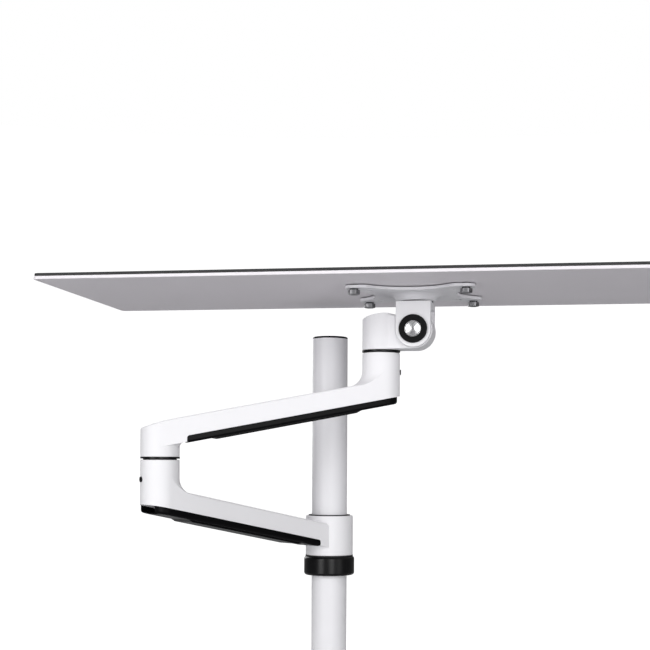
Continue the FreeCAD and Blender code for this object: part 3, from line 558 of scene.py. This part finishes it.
def make_press_pad():
    """A rubber disc with concentric grooves in its upper face."""
    low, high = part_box("press_pad")
    radius = (high.x - low.x) / 2
    bpy.ops.mesh.primitive_cylinder_add(
        vertices=ROUND, radius=radius, depth=high.z - low.z, end_fill_type="NGON", location=(low + high) / 2)
    pad = start("press_pad_grooved")
    bpy.ops.object.mode_set(mode="EDIT")
    pick(pad, "EDGE", lambda e: rise(e) < SAME)
    bpy.ops.mesh.bevel(offset=PAD_RIM, segments=3, affect="EDGES")
    pick(pad, "FACE", lambda f: f.normal.z > 0.99 and f.calc_area() > radius ** 2)
    for _ in range(PAD_GROOVES):
        bpy.ops.mesh.inset(thickness=radius * GROOVE_SPACING, depth=0)
        bpy.ops.mesh.inset(thickness=GROOVE_SLOPE, depth=-GROOVE_SINK)
        bpy.ops.mesh.inset(thickness=GROOVE_FLOOR, depth=0)
        bpy.ops.mesh.inset(thickness=GROOVE_SLOPE, depth=GROOVE_SINK)
    bpy.ops.object.mode_set(mode="OBJECT")
    pad.data.materials.append(FINISHES["dark_rubber"])
    smooth(pad)
    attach(pad, "press")
    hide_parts("press_pad")
    print("pad", len(pad.data.polygons), "faces, size", [round(v, 4) for v in pad.dimensions])


make_press_pad()

# %% [markdown]
# ## The tray's bolts
# Four hex bolts hold the tray. A forged head has a chamfered lower rim and a shallow dished face, and
# those two details are what make it read as a bolt. One bolt is modelled from a six-sided cylinder.
# A shallow ring on its upper face is cut into short edges and drawn in to a circle, which the round
# shank is pulled up from. The bolt is then copied to the other three corners of the square pattern and
# joined with them.

# %% Model the tray bolts
PATTERN = 0.100
ACROSS_FLATS = 0.0095
HEAD_HEIGHT = 0.0042
HEAD_CHAMFER = 0.0007
HEAD_RIM = 0.0010
HEAD_DISH = 0.0004
CORNER_ROUND = 0.0002
SHANK_R = 0.0020


def make_bolts():
    """Four hex bolts on the square pattern, joined into one piece."""
    low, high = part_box("tray_bolts")
    middle = (low + high) / 2
    corner_r = ACROSS_FLATS / math.sqrt(3)
    corner_on_x = (high.x - low.x) > (high.y - low.y)
    first = (middle.x - PATTERN / 2, middle.y - PATTERN / 2, low.z + HEAD_HEIGHT / 2)
    turn = math.radians(30 if corner_on_x else 0)
    bpy.ops.mesh.primitive_cylinder_add(
        vertices=6, radius=corner_r, depth=HEAD_HEIGHT, end_fill_type="NGON", location=first,
        rotation=(0, 0, turn))
    bolt = start("tray_hex_bolts")
    bpy.ops.object.mode_set(mode="EDIT")
    pick(bolt, "EDGE", lambda e: all(v.co.z < low.z + SAME for v in e.verts))
    bpy.ops.mesh.bevel(offset=HEAD_CHAMFER, segments=3, affect="EDGES")
    pick(bolt, "FACE", lambda f: f.normal.z < -0.99 and f.calc_area() > corner_r ** 2)
    bpy.ops.mesh.inset(thickness=HEAD_RIM, depth=0)
    bpy.ops.mesh.inset(thickness=HEAD_DISH, depth=-HEAD_DISH)
    pick(bolt, "EDGE", lambda e: rise(e) > HEAD_HEIGHT / 2)
    bpy.ops.mesh.bevel(offset=CORNER_ROUND, segments=2, affect="EDGES")
    pick(bolt, "FACE", lambda f: f.normal.z > 0.99 and f.calc_area() > corner_r ** 2)
    bpy.ops.mesh.inset(thickness=SHALLOW_INSET, depth=0)
    axis = Vector((first[0], first[1], 0))
    head_top = low.z + HEAD_HEIGHT
    flat_r = ACROSS_FLATS / 2 - SHALLOW_INSET / 2

    def in_ring(edge):
        """The six long edges of the shallow ring, and not its short corner edges."""
        centre = (edge.verts[0].co + edge.verts[1].co) / 2 - axis
        on_top = all(v.co.z > head_top - SAME for v in edge.verts)
        return on_top and centre.xy.length < flat_r and edge.calc_length() > corner_r / 4

    pick(bolt, "EDGE", in_ring)
    bpy.ops.mesh.subdivide(number_cuts=5)
    pick(bolt, "FACE", lambda f: f.normal.z > 0.99 and f.calc_area() > corner_r ** 2)
    draw_to_circle(bolt, axis, SHANK_R)
    bpy.ops.mesh.extrude_region_move(TRANSFORM_OT_translate={"value": (0, 0, high.z - head_top)})
    bpy.ops.object.mode_set(mode="OBJECT")
    copies = [bolt]
    for step in ((PATTERN, 0, 0), (0, PATTERN, 0), (PATTERN, PATTERN, 0)):
        only(bolt)
        bpy.ops.object.duplicate()
        bpy.ops.transform.translate(value=step)
        copies.append(bpy.context.object)
    bpy.ops.object.select_all(action="DESELECT")
    for copy in copies:
        copy.select_set(True)
    bpy.context.view_layer.objects.active = bolt
    bpy.ops.object.join()
    bolt.data.materials.clear()
    bolt.data.materials.append(FINISHES["zinc_steel"])
    smooth(bolt, 25)
    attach(bolt, "tray")
    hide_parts("tray_bolts")
    print("bolts", len(bolt.data.polygons), "faces, size", [round(v, 4) for v in bolt.dimensions])


make_bolts()

# %% [markdown]
# ## The turned caps
# Each cap is a low disc with a chamfered rim and a face that dips towards the middle in many fine
# steps. A disc's outer face is inset in equal steps, every second ring a little lower, so that light
# runs round the grooves in two bright wedges as it does on a real turned face.

# %% Model the turned caps
GROOVES = 13
GROOVE_DEPTH = 0.00003
DISH_STEP = 0.000078     # each ring lies this much deeper than the one outside it
CAP_RIM = 0.0005
CAP_BORDER = 0.0006
CENTRE_SPOT = 0.0005
RING_SHARE = 0.92        # how much of a step the ring's slope takes


def make_cap(node, side):
    """A grooved, dished disc in place of one plain cap; side is -1 for the front and 1 for the back."""
    low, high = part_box(node)
    middle = (low + high) / 2
    radius = (high.x - low.x) / 2
    depth = high.y - low.y
    bpy.ops.mesh.primitive_cylinder_add(
        vertices=ROUND, radius=radius, depth=depth, end_fill_type="NGON", location=middle,
        rotation=(math.radians(90), 0, 0))
    cap = start(node + "_turned")
    bpy.ops.object.mode_set(mode="EDIT")
    outer = middle.y + side * depth / 2
    pick(cap, "EDGE", lambda e: all(abs(v.co.y - outer) < SAME for v in e.verts))
    bpy.ops.mesh.bevel(offset=CAP_RIM, segments=3, affect="EDGES")
    pick(cap, "FACE", lambda f: f.normal.y * side > 0.99 and f.calc_area() > radius ** 2)
    step = (radius - CAP_RIM - CAP_BORDER - CENTRE_SPOT) / GROOVES
    bpy.ops.mesh.inset(thickness=CAP_BORDER, depth=0)
    for ring in range(GROOVES - 1):
        ridge = GROOVE_DEPTH if ring % 2 else -GROOVE_DEPTH
        bpy.ops.mesh.inset(thickness=step * RING_SHARE, depth=ridge - DISH_STEP)
    bpy.ops.object.mode_set(mode="OBJECT")
    cap.data.materials.append(FINISHES_TURNED[node])
    smooth(cap, 12)
    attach(cap, body_of_node[node])
    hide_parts(node)
    print(cap.name, len(cap.data.polygons), "faces, size", [round(v, 4) for v in cap.dimensions])


for side, node in ((-1, "tilt_cap_front"), (1, "tilt_cap_back")):
    make_cap(node, side)

# %% [markdown]
# ## The white ground
# A plain white ground with no corner and no horizon is a disc whose rim sweeps up into a tall wall.
# It stands well away from the arm on every side, so that the camera stays inside it from any angle.
# The arm is clamped to a desk and touches no floor, so the ground lies a little below it. The clamp's
# knob comes down by 27 mm when the press is wound right open, and it has to stay above the ground.

# %% Floor and sweep
GROUND_RADIUS = 6.0
SWEEP = 3.0
SWEEP_STEPS = 24
ROOM_BELOW = 0.032


def make_ground():
    """A disc whose rim is pulled out and up, step by step, along a quarter circle."""
    floor_z = cad_box[0].z - ROOM_BELOW
    bpy.ops.mesh.primitive_circle_add(
        vertices=ROUND, radius=GROUND_RADIUS, fill_type="NGON", location=(0, 0, floor_z))
    ground = start("ground")
    bpy.ops.object.mode_set(mode="EDIT")
    pick(ground, "EDGE", lambda e: e.is_boundary)
    for step in range(1, SWEEP_STEPS + 1):
        before, after = (math.pi / 2 * s / SWEEP_STEPS for s in (step - 1, step))
        out_before = GROUND_RADIUS + SWEEP * math.sin(before)
        out_after = GROUND_RADIUS + SWEEP * math.sin(after)
        up = SWEEP * (math.cos(before) - math.cos(after))
        wider = out_after / out_before
        bpy.ops.mesh.extrude_edges_move(TRANSFORM_OT_translate={"value": (0, 0, up)})
        bpy.ops.transform.resize(value=(wider, wider, 1), center_override=(0, 0, floor_z))
    bpy.ops.mesh.select_all(action="SELECT")
    bpy.ops.mesh.normals_make_consistent(inside=True)
    bpy.ops.object.mode_set(mode="OBJECT")
    smooth(ground, 60)
    return ground


def white_ground_finish():
    """White paper that looks fully white but throws back only part of the light."""
    finish, tree, shader = new_finish("white paper ground")
    grain = use(tree, SPRAYED_COAT, Ripple_Size=300.0, Patch_Size=2.0)
    tree.links.new(blend(tree, grain.outputs["Patches"], (0.43, 0.43, 0.44), (0.45, 0.45, 0.46)),
                   shader.inputs["Base Color"])
    shader.inputs["Roughness"].default_value = 0.9
    seen = tree.nodes.new("ShaderNodeLightPath")
    glow = maths(tree, "MULTIPLY", seen.outputs["Is Camera Ray"], 0.97)
    shader.inputs["Emission Color"].default_value = (1.0, 1.0, 1.0, 1.0)
    tree.links.new(glow, shader.inputs["Emission Strength"])
    return finish


ground = make_ground()
ground.data.materials.append(white_ground_finish())
print("ground", len(ground.data.polygons), "faces")

# %% [markdown]
# ## The light
# Two tall soft boxes stand in front, one each side of the lens, with a gap between them. The gap
# matters: flat glossy faces that look straight ahead mirror it and stay dark, so black parts look
# black and turned metal keeps its contrast. A weak light on the right opens the shaded side of the
# lower link, one behind draws edges, and one above lights the tray's top and the ground.

# %% Soft boxes
ARM_MIDDLE = Vector((0.0, -0.08, 0.28))


def soft_box(name, place, width, height, watts):
    """A rectangular lamp that faces the middle of the arm."""
    data = bpy.data.lights.new(name, "AREA")
    data.shape = "RECTANGLE"
    data.size = width
    data.size_y = height
    data.energy = watts
    lamp = bpy.data.objects.new(name, data)
    bpy.context.scene.collection.objects.link(lamp)
    facing = (ARM_MIDDLE - Vector(place)).to_track_quat("-Z", "Y")
    lamp.matrix_world = Matrix.Translation(place) @ facing.to_matrix().to_4x4()


soft_box("left key", (-1.08, -2.05, 0.64), 0.8, 1.8, 25)
soft_box("right key", (0.82, -2.10, 0.64), 0.8, 1.8, 22)
soft_box("fill", (1.9, -1.3, 0.4), 0.9, 1.5, 7)
soft_box("edge", (-1.4, 1.7, 0.9), 1.0, 1.4, 12)
soft_box("over", (0.2, 0.1, 2.4), 1.8, 1.8, 30)

# %% White air
AIR_LIGHT = 0.29
world = bpy.data.worlds.new("plain white air")
world.use_nodes = True
air = world.node_tree.nodes["Background"]
air.inputs["Color"].default_value = (1.0, 1.0, 1.0, 1.0)
looked_at = world.node_tree.nodes.new("ShaderNodeLightPath").outputs["Is Camera Ray"]
world.node_tree.links.new(between(world.node_tree, looked_at, AIR_LIGHT, 1.0), air.inputs["Strength"])
bpy.context.scene.world = world

# %% [markdown]
# ## How bright values become a picture
# The usual film-like transform keeps white well under full brightness, which makes a white product on
# a white ground look grey. The standard transform shows white as white and black as black.

# %% Tone
bpy.context.scene.view_settings.view_transform = "Standard"
print("tone", bpy.context.scene.view_settings.view_transform)
